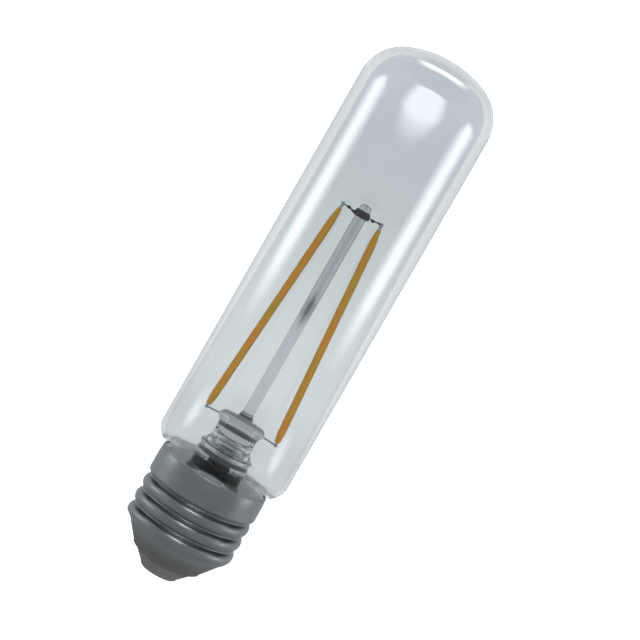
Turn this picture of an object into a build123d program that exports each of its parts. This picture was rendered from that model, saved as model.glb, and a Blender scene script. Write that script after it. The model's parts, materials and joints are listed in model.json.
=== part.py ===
from build123d import *
import os
from math import acos, asin, atan2, cos, degrees, radians, sin, sqrt, tan

# A clear tubular filament bulb on a screw cap. Lengths are millimetres and angles are degrees. +Z runs
# along the bulb from the end contact to the dome, and the origin is the centre of the end contact's
# face. The two filaments stand in the XZ plane, the right one at +X.

# Glass envelope
overall_length = 132.0
tube_diameter = 32.0
envelope_wall = 2.2
dome_crown_radius = 25.0
dome_corner_radius = 10.5
shoulder_radius = 4.6
shoulder_gap = 0.3
neck_run_in = 0.4
neck_clearance = 0.3

# Screw cap
thread_crest_diameter = 26.3
thread_depth = 1.05
thread_pitch = 3.629
thread_turns = 3
thread_land = 0.2
thread_flats = 4
skirt_rise = 0.05
skirt_height = 7.1
skirt_chamfer = 1.2
skirt_rim_chamfer = 0.15
shell_wall = 0.35
lip_inset = 0.3
cement_gap = 1.6
cement_recess = 0.2

# Insulator and end contact
contact_face_diameter = 9.0
contact_rim_diameter = 13.4
contact_height = 3.4
contact_chamfer = 0.5
contact_shank_diameter = 3.0
insulator_foot_diameter = 16.9
insulator_chamfer = 1.0
insulator_height = 5.3
insulator_floor = 2.8
insulator_wall = 1.4

# Glass stem
stem_reach = 13.65
stem_diameter = 12.4
stem_wall = 1.0
stem_band_rise = 0.25
stem_band_height = 2.1
stem_step_height = 1.9
press_tube_diameter = 9.9
press_tube_length = 1.85
press_foot = 1.6
press_roof = 2.8
press_height = 3.3
press_width = 11.6
press_thickness = 4.4
press_chamfer = 0.8
press_floor = 0.4
flare_height = 5.0
flare_lip_height = 1.0
flare_lip_inset = 0.3
exhaust_diameter = 4.4
exhaust_wall = 0.9
exhaust_length = 18.0
exhaust_tip_length = 1.6
exhaust_tip_diameter = 1.6

# Post and wires
post_diameter = 2.7
post_socket_depth = 1.6
post_foot_rise = 0.55
post_foot_height = 1.4
post_overrun = 2.3
wire_diameter = 0.44
lead_exit_depth = 1.4
lead_drop = 0.3
wire_overrun = 0.45
turn_count = 2
turn_height = 0.85
turn_thickness = 0.45
turn_groove = 0.2
arm_bead_diameter = 0.76
arm_bead_length = 0.55
arm_bead_gap = 0.45

# Filaments
coating_length = 52.65
coating_diameter = 1.7
coating_taper = 2.2
coating_end_diameter = 1.25
foot_offset = 8.74
head_offset = 5.0
strip_width = 0.9
strip_thickness = 0.44
strip_overrun = 0.4
chip_count = 28
chip_length = 0.7
chip_width = 0.5
chip_height = 0.15
chip_margin = 2.4
tab_width = 0.7
tab_thickness = 0.2
tab_grip = 1.5
tab_overrun = 0.4
upper_weld_gap = 1.2
lower_weld_gap = 0.7

# Driver
board_clearance = 0.5
board_thickness = 1.0
board_edge_margin = 1.9
capacitor_diameter = 6.3
capacitor_height = 7.0
capacitor_chamfer = 0.4
choke_side = 5.0
choke_height = 4.0
choke_chamfer = 0.8
package_edge_margin = 2.4
driver_chip_length = 4.9
driver_chip_width = 3.9
driver_chip_height = 1.5
rectifier_length = 4.7
rectifier_width = 3.9
rectifier_height = 1.7
resistor_length = 2.0
resistor_width = 1.25
resistor_height = 0.5
resistor_edge_margin = 2.0
resistor_angle = 40.0
fuse_diameter = 2.0
fuse_lead_length = 0.6
shell_lead_diameter = 0.5
shell_lead_length = 2.4
shell_lead_angle = 25.0

# Radii and heights of the cap and the envelope that follow from the sizes above
tube_radius = tube_diameter / 2
crest_radius = thread_crest_diameter / 2
root_radius = crest_radius - thread_depth
skirt_radius = crest_radius + skirt_rise
lip_radius = root_radius - lip_inset
lip_bore_radius = lip_radius - shell_wall
shell_bore_radius = root_radius - shell_wall
skirt_bore_radius = skirt_radius - shell_wall
neck_radius = skirt_bore_radius - cement_gap
neck_bore_radius = neck_radius - envelope_wall
shank_radius = contact_shank_diameter / 2
shell_lead_radius = shell_lead_diameter / 2
board_radius = shell_bore_radius - board_clearance
ridge_half_width = (thread_pitch - thread_land) / 2
ridge_radius = (ridge_half_width**2 + thread_depth**2) / (2 * thread_depth)
shank_top = contact_height + insulator_floor
lip_height = contact_height + insulator_height
groove_height = lip_height + thread_pitch
board_top = groove_height - shell_lead_radius
collar_top = board_top - board_thickness
thread_top = lip_height + thread_turns * thread_pitch
skirt_bottom = thread_top + skirt_chamfer
rim_height = thread_top + skirt_height
bend_shift = shell_wall * tan(atan2(skirt_radius - root_radius, skirt_chamfer) / 2)
bore_step_top = skirt_bottom + bend_shift
neck_end = bore_step_top + neck_clearance
shoulder_bottom = rim_height + shoulder_gap

# Radii and heights of the stem
stem_radius = stem_diameter / 2
stem_bore_radius = stem_radius - stem_wall
press_tube_radius = press_tube_diameter / 2
press_bore_radius = press_tube_radius - stem_wall
exhaust_radius = exhaust_diameter / 2
exhaust_bore_radius = exhaust_radius - exhaust_wall
post_radius = post_diameter / 2
wire_radius = wire_diameter / 2
press_top = rim_height + stem_reach
press_bottom = press_top - press_height
press_tube_top = press_bottom - press_foot
press_tube_bottom = press_tube_top - press_tube_length
stem_band_top = press_tube_bottom - stem_step_height
stem_band_bottom = stem_band_top - stem_band_height
stem_bore_top = press_tube_top - press_floor

# Where the wires run and the filaments stand
lead_x = (exhaust_radius + press_bore_radius) / 2
lead_exit_height = press_top - lead_exit_depth
lead_end_height = lead_exit_height - lead_drop
wire_y = (strip_thickness - wire_diameter) / 2
filament_tilt = degrees(asin((foot_offset - head_offset) / coating_length))
coating_rise = coating_length * cos(radians(filament_tilt))
coating_foot = lead_end_height + lower_weld_gap
arm_height = coating_foot + coating_rise + upper_weld_gap
arm_end = head_offset - upper_weld_gap * tan(radians(filament_tilt)) + wire_overrun
lead_end = foot_offset + lower_weld_gap * tan(radians(filament_tilt)) + wire_overrun
turns_bottom = arm_height - turn_count * turn_height / 2
turns_top = turns_bottom + turn_count * turn_height


def arc_about(centre, start, end):
    """The shorter arc about a centre from one point to another."""
    towards_middle = (start - centre + end - centre).normalized()
    return ThreePointArc(start, centre + towards_middle * (start - centre).length, end)


def turned(*outline):
    """A solid of revolution about Z from a closed outline of (radius, height) points."""
    return revolve(Plane.XZ * Polygon(*outline, align=None), Axis.Z)


def rod(radius, bottom, top):
    """An upright cylinder on the axis between two heights."""
    return Pos(0, 0, (bottom + top) / 2) * Cylinder(radius, top - bottom)


def rod_along_x(radius, start, length, y, z):
    """A cylinder from x = start, towards +X."""
    return extrude(Plane(origin=(start, y, z), z_dir=(1, 0, 0)) * Circle(radius), length)


def on_board(solid_height, x, y, outline):
    """A flat-based component of a given outline and height, standing on the board."""
    return extrude(Pos(x, y, board_top) * outline, solid_height)


# Glass envelope
def envelope_surface(inset):
    """Half outline of the glass from the crown to the neck's end, set in by inset, and its two ends."""
    crown_centre = Vector(0, overall_length - dome_crown_radius)
    corner_x = tube_radius - dome_corner_radius
    corner_rise = sqrt((dome_crown_radius - dome_corner_radius) ** 2 - corner_x**2)
    corner_centre = crown_centre + Vector(corner_x, corner_rise)
    shoulder_centre = Vector(tube_radius - shoulder_radius, shoulder_bottom + shoulder_radius)
    crown_arm = dome_crown_radius - inset
    corner_arm = dome_corner_radius - inset
    shoulder_arm = shoulder_radius - inset

    crown = crown_centre + Vector(0, crown_arm)
    crown_end = crown_centre + (corner_centre - crown_centre).normalized() * crown_arm
    tube_top = corner_centre + Vector(corner_arm, 0)
    tube_bottom = shoulder_centre + Vector(shoulder_arm, 0)
    shoulder_end = shoulder_centre - Vector(0, shoulder_arm)
    neck_top = Vector(neck_radius - inset, shoulder_bottom if inset else shoulder_bottom - neck_run_in)
    neck_foot = Vector(neck_radius - inset, neck_end)
    line = [
        arc_about(crown_centre, crown, crown_end),
        arc_about(corner_centre, crown_end, tube_top),
        Line(tube_top, tube_bottom),
        arc_about(shoulder_centre, tube_bottom, shoulder_end),
        Polyline(shoulder_end, neck_top, neck_foot),
    ]
    return line, crown, neck_foot


def glass_envelope():
    """The blown tube with its dome, shoulder and neck."""
    outer, outer_crown, outer_foot = envelope_surface(0)
    inner, inner_crown, inner_foot = envelope_surface(envelope_wall)
    edges = outer + inner + [Line(outer_crown, inner_crown), Line(outer_foot, inner_foot)]
    return revolve(Plane.XZ * make_face(edges), Axis.Z)


# Screw cap
def thread_outline(inset):
    """The (radius, height) points of the thread from the lip up, on the sheet's outside or set in by inset.

    Every ridge is an arc in flats, and the ridges stand level.
    """
    arm = ridge_radius - inset
    half_angle = acos(1 - thread_depth / arm)
    points = []
    for turn in range(thread_turns):
        middle = lip_height + (turn + 0.5) * thread_pitch
        for corner in range(thread_flats + 1):
            angle = half_angle * (2 * corner / thread_flats - 1)
            points.append((crest_radius - inset - arm * (1 - cos(angle)), middle + arm * sin(angle)))
    return points


def lip_floor():
    """The height of the lip's inside, where the insulator rests."""
    _, height = thread_outline(shell_wall)[0]
    return height


def cap_shell():
    """The shell of rolled sheet: a turned-in lip, the thread and a plain skirt."""
    return turned(
        (lip_bore_radius, lip_floor()),
        (lip_bore_radius, lip_height),
        (lip_radius, lip_height),
        *thread_outline(0),
        (root_radius, thread_top),
        (skirt_radius, skirt_bottom),
        (skirt_radius, rim_height - skirt_rim_chamfer),
        (skirt_radius - skirt_rim_chamfer, rim_height),
        (skirt_bore_radius, rim_height),
        (skirt_bore_radius, bore_step_top),
        (shell_bore_radius, thread_top + bend_shift),
        *reversed(thread_outline(shell_wall)),
    )


def cap_insulator():
    """The moulded cup that carries the end contact and sits on the shell's lip."""
    foot_radius = insulator_foot_diameter / 2
    recess_radius = foot_radius - insulator_wall
    return turned(
        (shank_radius, contact_height),
        (foot_radius - insulator_chamfer, contact_height),
        (foot_radius, contact_height + insulator_chamfer),
        (lip_radius, lip_height),
        (lip_bore_radius, lip_height),
        (lip_bore_radius, lip_floor()),
        (shell_bore_radius, lip_floor()),
        (shell_bore_radius, collar_top),
        (recess_radius, collar_top),
        (recess_radius, shank_top),
        (shank_radius, shank_top),
    )


def end_contact():
    """The nail shaped contact: a conical head with a flat face, and a shank held by the insulator."""
    face_radius = contact_face_diameter / 2
    rim_radius = contact_rim_diameter / 2
    return turned(
        (0, 0),
        (face_radius - contact_chamfer, 0),
        (face_radius, contact_chamfer),
        (rim_radius, contact_height - contact_chamfer),
        (rim_radius, contact_height),
        (shank_radius, contact_height),
        (shank_radius, shank_top),
        (0, shank_top),
    )


def basing_cement():
    """The ring of cement between the neck and the skirt."""
    top = rim_height - cement_recess
    return rod(skirt_bore_radius, neck_end, top) - rod(neck_radius, neck_end, top)


# Glass stem
def lead_wire():
    """The right lead: up from the board, bent sharply in the press and out to the filament's foot."""
    path = Polyline(
        (lead_x, wire_y, board_top),
        (lead_x, wire_y, lead_exit_height),
        (lead_end, wire_y, lead_end_height),
    )
    section = Plane(origin=path @ 0, z_dir=path % 0) * Circle(wire_radius)
    return sweep(section, path=path, transition=Transition.RIGHT)


def stem_press():
    """The flat slab at the stem's top."""
    flat = Pos(0, 0, press_bottom) * SlotOverall(press_width, press_thickness)
    slab = extrude(flat, press_height)
    return chamfer(slab.edges().group_by(Axis.Z)[-1], press_chamfer)


def stem_tube(leads):
    """The flare, its raised band and stepped tube, and the press that grips the leads and the post."""
    roof_top = press_tube_top + press_roof
    band_radius = stem_radius + stem_band_rise
    flare_top = neck_end + flare_height
    lip_bottom = neck_end - flare_lip_height
    tube = turned(
        (0, stem_bore_top),
        (0, roof_top),
        (press_thickness / 2, roof_top),
        (press_tube_radius, press_tube_top),
        (press_tube_radius, press_tube_bottom),
        (band_radius, stem_band_top),
        (band_radius, stem_band_bottom),
        (stem_radius, stem_band_bottom),
        (stem_radius, flare_top),
        (neck_bore_radius, neck_end),
        (neck_radius - flare_lip_inset, neck_end),
        (neck_radius - flare_lip_inset, lip_bottom),
        (neck_bore_radius - stem_wall, lip_bottom),
        (stem_bore_radius, flare_top - stem_wall),
        (stem_bore_radius, stem_band_top - stem_wall),
        (press_bore_radius, press_tube_bottom - stem_wall),
        (press_bore_radius, stem_bore_top),
    )
    stem = tube + stem_press() - rod(post_radius, press_top - post_socket_depth, press_top)
    for lead in leads:
        stem = stem - lead
    return stem


def exhaust_tube():
    """The pumping tube under the press, drawn to a closed tip."""
    tip = stem_bore_top - exhaust_length
    tip_top = tip + exhaust_tip_length
    return turned(
        (exhaust_bore_radius, stem_bore_top),
        (exhaust_radius, stem_bore_top),
        (exhaust_radius, tip_top),
        (exhaust_tip_diameter / 2, tip),
        (0, tip),
        (0, tip_top),
        (exhaust_bore_radius, tip_top + exhaust_wall),
    )


def stem_post():
    """The glass rod: a foot set in the press, a bead round it, and a rounded end."""
    top = arm_height + post_overrun
    foot = press_top - post_socket_depth
    bead_radius = post_radius + post_foot_rise
    end_centre = Vector(0, top - post_radius)
    side = end_centre + Vector(post_radius, 0)
    crown = end_centre + Vector(0, post_radius)
    outline = Polyline(
        crown,
        (0, foot),
        (post_radius, foot),
        (post_radius, press_top),
        (bead_radius, press_top),
        (bead_radius, press_top + post_foot_height / 2),
        (post_radius, press_top + post_foot_height),
        side,
    )
    return revolve(Plane.XZ * make_face([outline, arc_about(end_centre, side, crown)]), Axis.Z)


def top_support_wire():
    """Flattened turns round the post, with an arm out to each filament's head."""
    outer = post_radius + turn_thickness
    groove = post_radius + turn_groove
    outline = [(post_radius, turns_bottom), (groove, turns_bottom)]
    for turn in range(turn_count):
        start = turns_bottom + turn * turn_height
        outline += [(outer, start + turn_height / 2), (groove, start + turn_height)]
    support = turned(*outline, (post_radius, turns_top))
    arm = rod_along_x(wire_radius, post_radius, arm_end - post_radius, wire_y, arm_height)
    bead_start = outer + arm_bead_gap
    bead = rod_along_x(arm_bead_diameter / 2, bead_start, arm_bead_length, wire_y, arm_height)
    arm = arm + bead - rod(post_radius, turns_bottom, turns_top)
    return support + arm + Rot(0, 0, 180) * arm


# Filaments, each made upright about the middle of its coating
def filament_chips():
    """The row of dies on the strip's front."""
    first = chip_margin - coating_length / 2
    step = (coating_length - 2 * chip_margin) / (chip_count - 1)
    y = -(strip_thickness + chip_height) / 2
    die = Box(chip_width, chip_height, chip_length)
    return [Pos(0, y, first + index * step) * die for index in range(chip_count)]


def filament_tab(end, weld_gap):
    """The metal end behind the strip. End is 1 at the head and -1 at the foot."""
    length = tab_grip + weld_gap + wire_radius + tab_overrun
    middle = coating_length / 2 - tab_grip + length / 2
    y = (strip_thickness + tab_thickness) / 2
    return Pos(0, y, end * middle) * Box(tab_width, tab_thickness, length)


def filament_coating(inside):
    """The phosphor sleeve with tapered ends, moulded round what it holds."""
    end = coating_length / 2
    straight = end - coating_taper
    full = coating_diameter / 2
    small = coating_end_diameter / 2
    sleeve = turned(
        (0, -end), (small, -end), (full, -straight), (full, straight), (small, end), (0, end)
    )
    for piece in inside:
        sleeve = sleeve - piece
    return sleeve


def filament():
    """One filament's pieces by name."""
    strip = Box(strip_width, strip_thickness, coating_length + 2 * strip_overrun)
    chips = filament_chips()
    upper = filament_tab(1, upper_weld_gap)
    lower = filament_tab(-1, lower_weld_gap)
    return {
        "strip": strip,
        "chips": Compound(children=chips),
        "upper_tab": upper,
        "lower_tab": lower,
        "coating": filament_coating([strip, upper, lower, *chips]),
    }


# Driver
def smoothing_capacitor():
    """The can with its rolled top edge."""
    y = board_radius - board_edge_margin - capacitor_diameter / 2
    can = on_board(capacitor_height, 0, y, Circle(capacitor_diameter / 2))
    return chamfer(can.edges().group_by(Axis.Z)[-1], capacitor_chamfer)


def choke():
    """The moulded power inductor with its cut corners."""
    y = board_radius - board_edge_margin - choke_side / 2
    case = on_board(choke_height, 0, -y, Rectangle(choke_side, choke_side))
    return chamfer(case.edges().filter_by(Axis.Z), choke_chamfer)


def package(length, width, height, side):
    """A flat chip package near the board's edge, on one side of the leads."""
    x = board_radius - package_edge_margin - width / 2
    return on_board(height, side * x, 0, Rectangle(width, length))


def chip_resistors():
    """Four flat resistors, one in each quarter of the board."""
    x = board_radius - resistor_edge_margin - resistor_length / 2
    flat = on_board(resistor_height, x, 0, Rectangle(resistor_length, resistor_width))
    angles = [turn + side * resistor_angle for turn in (0, 180) for side in (1, -1)]
    return Compound(children=[Rot(0, 0, angle) * flat for angle in angles])


def fuse():
    """The fuse resistor between the contact's shank and the board, and its two leads."""
    low = shank_top + fuse_lead_length
    high = collar_top - fuse_lead_length
    leads = [rod(wire_radius, shank_top, low), rod(wire_radius, high, collar_top)]
    return rod(fuse_diameter / 2, low, high), Compound(children=leads)


def shell_lead():
    """The short wire on the board that meets the shell in its first groove."""
    start = shell_bore_radius - shell_lead_length
    wire = rod_along_x(shell_lead_radius, start, shell_lead_length, 0, groove_height)
    return Rot(0, 0, shell_lead_angle) * wire


def build():
    """Every piece by its node's name."""
    half_turn = Rot(0, 0, 180)
    right_lead = lead_wire()
    left_lead = half_turn * right_lead
    fuse_resistor, fuse_leads = fuse()
    pieces = {
        "glass_envelope": glass_envelope(),
        "stem_tube": stem_tube([right_lead, left_lead]),
        "exhaust_tube": exhaust_tube(),
        "stem_post": stem_post(),
        "top_support_wire": top_support_wire(),
        "right_lead_wire": right_lead,
        "left_lead_wire": left_lead,
        "cap_shell": cap_shell(),
        "cap_insulator": cap_insulator(),
        "end_contact": end_contact(),
        "basing_cement": basing_cement(),
        "driver_board": rod(board_radius, collar_top, board_top),
        "smoothing_capacitor": smoothing_capacitor(),
        "choke": choke(),
        "rectifier": package(rectifier_length, rectifier_width, rectifier_height, 1),
        "driver_chip": package(driver_chip_length, driver_chip_width, driver_chip_height, -1),
        "chip_resistors": chip_resistors(),
        "fuse_resistor": fuse_resistor,
        "fuse_leads": fuse_leads,
        "shell_lead": shell_lead(),
    }
    middle = Pos((foot_offset + head_offset) / 2, 0, coating_foot + coating_rise / 2)
    in_place = middle * Rot(0, -filament_tilt, 0)
    for name, piece in filament().items():
        pieces[f"right_filament_{name}"] = in_place * piece
        pieces[f"left_filament_{name}"] = half_turn * in_place * piece
    return pieces


os.makedirs("parts", exist_ok=True)
for node, solid in build().items():
    export_step(solid, f"parts/{node}.step")
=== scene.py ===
# %% [markdown]
# # A tubular filament bulb
#
# The real bulb is a clear glass tube on a metal screw cap. Inside stand a glass stem, two amber filaments and
# the wires that carry them. The CAD model gives every size. This lesson dresses it: smooth glass, rolled
# metal, drawn wire and phosphor, each worked out as a surface from a formula.

# %% The frame
import json

import bmesh
import bpy
import numpy as np
from mathutils import Matrix, Vector

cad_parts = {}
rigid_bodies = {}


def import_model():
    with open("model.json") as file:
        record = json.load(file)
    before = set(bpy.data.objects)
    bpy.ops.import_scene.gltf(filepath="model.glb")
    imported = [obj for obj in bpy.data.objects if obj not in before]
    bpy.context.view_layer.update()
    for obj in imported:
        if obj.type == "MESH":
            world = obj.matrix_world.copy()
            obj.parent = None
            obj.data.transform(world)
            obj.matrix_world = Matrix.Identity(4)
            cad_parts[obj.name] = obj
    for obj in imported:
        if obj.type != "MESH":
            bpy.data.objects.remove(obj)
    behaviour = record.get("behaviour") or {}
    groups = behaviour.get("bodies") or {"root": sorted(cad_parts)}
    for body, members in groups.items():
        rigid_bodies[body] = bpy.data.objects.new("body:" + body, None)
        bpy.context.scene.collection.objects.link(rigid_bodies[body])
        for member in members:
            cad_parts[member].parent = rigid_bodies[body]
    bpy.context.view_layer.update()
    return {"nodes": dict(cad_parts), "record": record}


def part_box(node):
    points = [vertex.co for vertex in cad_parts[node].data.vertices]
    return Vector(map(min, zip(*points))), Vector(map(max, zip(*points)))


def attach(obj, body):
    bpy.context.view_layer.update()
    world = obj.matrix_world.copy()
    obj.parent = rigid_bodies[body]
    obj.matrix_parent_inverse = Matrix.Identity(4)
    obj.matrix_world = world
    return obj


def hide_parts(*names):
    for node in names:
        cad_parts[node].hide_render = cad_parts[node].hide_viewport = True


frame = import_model()
MM = 0.001


def corners(node):
    """The lowest and highest corner of a CAD node, in millimetres."""
    low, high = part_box(node)
    return np.array(low) / MM, np.array(high) / MM


# %% [markdown]
# ## Lines and surfaces
#
# Nearly every piece here is a line carried somewhere: round the axis for turned glass and metal, or along a
# path for wire. A line is a short list of corners. Real edges are never quite sharp, so the line is walked in
# even steps and averaged over a short reach, which turns each corner into a small round. Points that a
# straight run doesn't need are then dropped. Working on whole arrays keeps it fast.

# %% A line with soft corners
def softened(line, step, reach):
    """Walks the line in even steps by length, then averages each column over reach on both sides.

    Past its two ends the line goes on as its own mirror image through the end point, so the ends stay put.
    """
    line = np.asarray(line, float)
    spans = np.linalg.norm(np.diff(line[:, :3], axis=0), axis=1)
    length = np.concatenate([[0.0], np.cumsum(spans)])
    count = max(int(length[-1] / step), 8)
    along = np.linspace(0.0, length[-1], count + 1)
    even = np.stack([np.interp(along, length, column) for column in line.T], axis=1)
    half = min(max(int(round(reach / step)), 1), count)
    before = 2 * even[0] - even[half:0:-1]
    after = 2 * even[-1] - even[-2:-half - 2:-1]
    padded = np.concatenate([before, even, after])
    weights = np.hanning(2 * half + 3)[1:-1]
    weights /= weights.sum()
    return np.stack([np.convolve(column, weights, mode="valid") for column in padded.T], axis=1)


def thinned(line, turn, gap):
    """Fewer points where a line runs straight, more where it bends.

    Up to each point two sums are added: the turning in degrees over the turn allowed, and the length over the
    gap allowed. A point stays where the total passes a whole number. Both ends stay.
    """
    step = np.diff(line[:, :3], axis=0)
    length = np.linalg.norm(step, axis=1)
    way = step / length[:, None]
    bend = np.degrees(np.arccos(np.clip(np.sum(way[1:] * way[:-1], axis=1), -1.0, 1.0)))
    total = np.cumsum(length) / gap + np.concatenate([[0.0], np.cumsum(bend)]) / turn
    keep = np.concatenate([[True], np.diff(np.floor(total), prepend=0.0) > 0.0])
    keep[-1] = True
    return line[keep]


def soft_profile(line, step, reach, turn, gap):
    """A line with soft corners and only as many points as its bends need."""
    return thinned(softened(line, step, reach), turn, gap)


def closed_profile(line):
    """The same for a line that comes back to its first point, which isn't repeated."""
    return soft_profile([*line, line[0]], step=0.1, reach=0.2, turn=5.0, gap=1.0)[:-1]


def arc(centre, radius, start, end, count):
    """Points of an arc about a centre, from one angle to another in degrees, anticlockwise from outwards."""
    angle = np.radians(np.linspace(start, end, count))
    return np.stack([centre[0] + radius * np.cos(angle), centre[1] + radius * np.sin(angle)], axis=1)


# %% A grid of points as a mesh
def surface(name, points, finish, sharp=40.0, close_rows=False, weld=0.0005):
    """A mesh of quads on a grid of points, rows by columns. The columns always close on themselves.

    Coincident points, such as a pole's, are merged, and the faces are turned outwards.
    """
    rows, columns, _ = points.shape
    row = np.arange(rows if close_rows else rows - 1)[:, None]
    column = np.arange(columns)[None, :]
    next_row = (row + 1) % rows
    next_column = (column + 1) % columns
    quads = np.stack(
        [
            row * columns + column,
            row * columns + next_column,
            next_row * columns + next_column,
            next_row * columns + column,
        ],
        axis=-1,
    ).reshape(-1, 4)
    mesh = bpy.data.meshes.new(name)
    mesh.from_pydata((points.reshape(-1, 3) * MM).tolist(), [], quads.tolist())
    shape = bmesh.new()
    shape.from_mesh(mesh)
    bmesh.ops.remove_doubles(shape, verts=shape.verts, dist=weld * MM)
    bmesh.ops.dissolve_degenerate(shape, edges=shape.edges, dist=weld * MM)
    bmesh.ops.recalc_face_normals(shape, faces=shape.faces)
    shape.to_mesh(mesh)
    shape.free()
    mesh.shade_smooth()
    mesh.set_sharp_from_angle(angle=np.radians(sharp))
    mesh.materials.append(finish)
    piece = bpy.data.objects.new(name, mesh)
    bpy.context.scene.collection.objects.link(piece)
    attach(piece, "root")
    print(name, "faces", len(mesh.polygons))
    return piece


# %% Turned and drawn surfaces
def turned(profile, around=160):
    """A profile of (radius, height) points carried round the Z axis: x = r cos a, y = r sin a, z = height."""
    angle = np.linspace(0.0, 2 * np.pi, around, endpoint=False)
    radius = profile[:, :1]
    height = np.broadcast_to(profile[:, 1:2], (len(profile), around))
    return np.stack([radius * np.cos(angle), radius * np.sin(angle), height], axis=-1)


def drawn(path, radius, reference, around=16, flat=1.0):
    """A wire: at each point of the path a ring, square to the path, with one radius or one for each point.

    The ring's first axis is the reference direction with its part along the path taken out, and its second
    axis is square to both and flat times as long. A last ring of no radius at either end closes the wire.
    """
    tangent = np.gradient(path, axis=0)
    tangent /= np.linalg.norm(tangent, axis=1, keepdims=True)
    first = np.asarray(reference, float) - (tangent @ np.asarray(reference, float))[:, None] * tangent
    first /= np.linalg.norm(first, axis=1, keepdims=True)
    second = flat * np.cross(tangent, first)
    thick = np.broadcast_to(np.asarray(radius, float), (len(path),))[:, None, None]
    angle = np.linspace(0.0, 2 * np.pi, around, endpoint=False)[None, :, None]
    ring = np.cos(angle) * first[:, None, :] + np.sin(angle) * second[:, None, :]
    rings = path[:, None, :] + thick * ring
    caps = [np.repeat(point[None, None, :], around, axis=1) for point in (path[0], path[-1])]
    return np.concatenate([caps[0], rings, caps[1]])


# %% [markdown]
# ## Writing a finish
#
# A finish is a small network of nodes. Written as nodes and links it is hard to read, so a socket is wrapped
# in a class that knows Python's operators: a sum of two signals becomes a Math node. Everything else comes
# from one method that sets a node up and fills its sockets.

# %% Signals and finishes
class Signal:
    """One output socket of a finish. Arithmetic on it adds Math nodes."""

    def __init__(self, finish, socket):
        self.finish = finish
        self.socket = socket

    def math(self, operation, first, second=0.0):
        return self.finish.node("ShaderNodeMath", {"operation": operation}, {0: first, 1: second})

    def __add__(self, other):
        return self.math("ADD", self, other)

    def __sub__(self, other):
        return self.math("SUBTRACT", self, other)

    def __rsub__(self, other):
        return self.math("SUBTRACT", other, self)

    def __mul__(self, other):
        return self.math("MULTIPLY", self, other)

    def __abs__(self):
        return self.math("ABSOLUTE", self)

    def larger(self, other):
        return self.math("MAXIMUM", self, other)

    __radd__ = __add__
    __rmul__ = __mul__


class Finish:
    """A node tree that is written from top to bottom."""

    def __init__(self, owner):
        self.tree = owner.node_tree
        self.tree.nodes.clear()

    def node(self, kind, settings=None, sockets=None, output=0):
        """Adds a node of one kind, makes its settings, fills its sockets and returns one of its outputs."""
        made = self.tree.nodes.new(kind)
        for key, value in (settings or {}).items():
            if key == "stops":
                elements = made.color_ramp.elements
                while len(elements) < len(value):
                    elements.new(0.5)
                for element, (position, colour) in zip(elements, value):
                    element.position = position
                    element.color = (*colour, 1.0)
            else:
                setattr(made, key, value)
        for key, value in (sockets or {}).items():
            if isinstance(value, Signal):
                self.tree.links.new(value.socket, made.inputs[key])
            else:
                made.inputs[key].default_value = value
        return Signal(self, made.outputs[output]) if made.outputs else None


def material(name):
    """A new material and the finish that writes it."""
    made = bpy.data.materials.new(name)
    made.use_nodes = True
    print("finish", name)
    return made, Finish(made)


def principled(finish, **sockets):
    """The finish's surface shader. Underscores in a socket's name stand for spaces."""
    named = {key.replace("_", " "): value for key, value in sockets.items()}
    shader = finish.node("ShaderNodeBsdfPrincipled", {}, named)
    finish.node("ShaderNodeOutputMaterial", {}, {"Surface": shader})


# %% Signals that finishes share
def place(finish):
    """Where a point lies on the piece, in metres: the whole vector, and its three parts x, y and z."""
    where = finish.node("ShaderNodeTexCoord", {}, {}, "Object")
    return where, [finish.node("ShaderNodeSeparateXYZ", {}, {0: where}, axis) for axis in "XYZ"]


def smooth_step(finish, value, start, end, low, high):
    """A smooth change from low to high while the value goes from start to end."""
    return finish.node(
        "ShaderNodeMapRange",
        {"interpolation_type": "SMOOTHSTEP"},
        {"Value": value, "From Min": start, "From Max": end, "To Min": low, "To Max": high},
    )


def step_mm(finish, value, start, end, low, high):
    """A smooth change over a length of the piece, whose start and end are in millimetres."""
    return smooth_step(finish, value, start * MM, end * MM, low, high)


def ramp(finish, value, stops):
    """Colours at places from 0 to 1, blended in between."""
    return finish.node("ShaderNodeValToRGB", {"stops": stops}, {"Fac": value})


def blend(finish, share, first, second, way="MIX"):
    """Two colours mixed by a share, or multiplied."""
    settings = {"data_type": "RGBA", "blend_type": way}
    return finish.node("ShaderNodeMix", settings, {0: share, 6: first, 7: second}, 2)


def darker(finish, colour, shade):
    """A colour times a grey signal."""
    grey = finish.node("ShaderNodeCombineColor", {}, {0: shade, 1: shade, 2: shade})
    return blend(finish, 1.0, colour, grey, "MULTIPLY")


def glancing(finish, start, full):
    """One where a surface is seen edge on, nought where it faces the eye."""
    facing = finish.node("ShaderNodeLayerWeight", {}, {"Blend": 0.5}, "Facing")
    return smooth_step(finish, facing, start, full, 0.0, 1.0)


def noise(finish, where, scale, detail=2.0, **more):
    """Soft clouds between 0 and 1. The scale says how many lie along a metre."""
    sockets = {"Vector": where, "Scale": scale, "Detail": detail, **more}
    return finish.node("ShaderNodeTexNoise", {}, sockets, "Fac")


def bumped(finish, strength, depth, height):
    """A normal that follows a height signal, whose full depth is in millimetres."""
    sockets = {"Strength": strength, "Distance": depth * MM, "Height": height}
    return finish.node("ShaderNodeBump", {}, sockets)
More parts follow.
